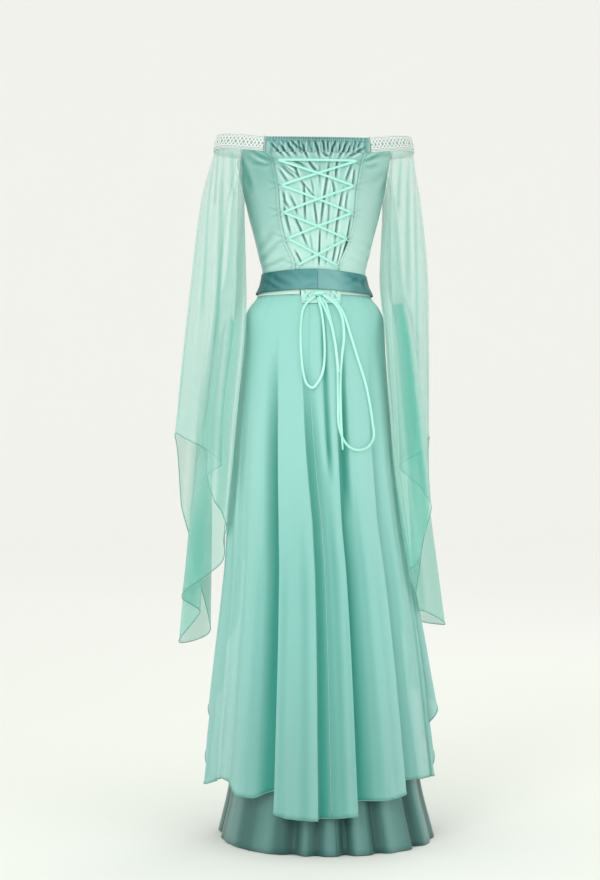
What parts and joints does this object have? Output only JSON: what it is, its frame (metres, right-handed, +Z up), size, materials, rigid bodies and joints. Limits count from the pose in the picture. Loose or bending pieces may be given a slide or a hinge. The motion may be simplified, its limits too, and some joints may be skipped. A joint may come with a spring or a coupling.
{
  "type": "off-the-shoulder gown with laced back",
  "caption": "Hollow worn gown: laced fitted bodice, satin belt, sheer open-fronted overskirt over a satin skirt, and long sheer sleeves with folded diagonal hems.",
  "frame": {"origin": "middle of the gown at the height of the neckline trim, where the wearer's shoulders and upper arms hold it", "axes": "+Z up; the wearer faces +Y, so the laced back faces -Y; +X is the wearer's right"},
  "size_m": [0.556, 0.4322, 1.3868],
  "materials": {
    "bodice_satin": "soft sheen, darker at the neckline",
    "insert_satin": "satin, gathered",
    "casing_satin": "satin, gathered on elastic",
    "woven_trim": "woven interlaced trim, matt silver white",
    "belt_satin": "satin",
    "stay_tape": "matt tape",
    "overskirt_chiffon": "sheer, matt",
    "underskirt_satin": "satin",
    "sleeve_chiffon": "sheer, matt",
    "ribbon": "satin ribbon"
  },
  "bodies": {
    "root": {"bodice_front": "bodice_satin", "bodice_back_left": "bodice_satin", "bodice_back_right": "bodice_satin", "back_insert": "insert_satin", "neck_casing_back": "casing_satin", "braid_left": "woven_trim", "braid_right": "woven_trim", "belt_left": "belt_satin", "belt_right": "belt_satin", "waist_strip_left": "stay_tape", "waist_strip_right": "stay_tape", "overskirt_left": "overskirt_chiffon", "overskirt_right": "overskirt_chiffon", "underskirt_back_left": "underskirt_satin", "underskirt_back_right": "underskirt_satin", "underskirt_front": "underskirt_satin", "sleeve_left": "sleeve_chiffon", "sleeve_right": "sleeve_chiffon", "back_lacing": "ribbon", "loop_left_1": "insert_satin", "loop_right_1": "insert_satin", "loop_left_2": "insert_satin", "loop_right_2": "insert_satin", "loop_left_3": "insert_satin", "loop_right_3": "insert_satin", "loop_left_4": "insert_satin", "loop_right_4": "insert_satin", "loop_left_5": "insert_satin", "loop_right_5": "insert_satin", "bow_knot": "ribbon", "bow_loop_left": "ribbon", "bow_loop_right": "ribbon", "tail_left": "ribbon", "tail_right": "ribbon"}
  },
  "joints": []
}
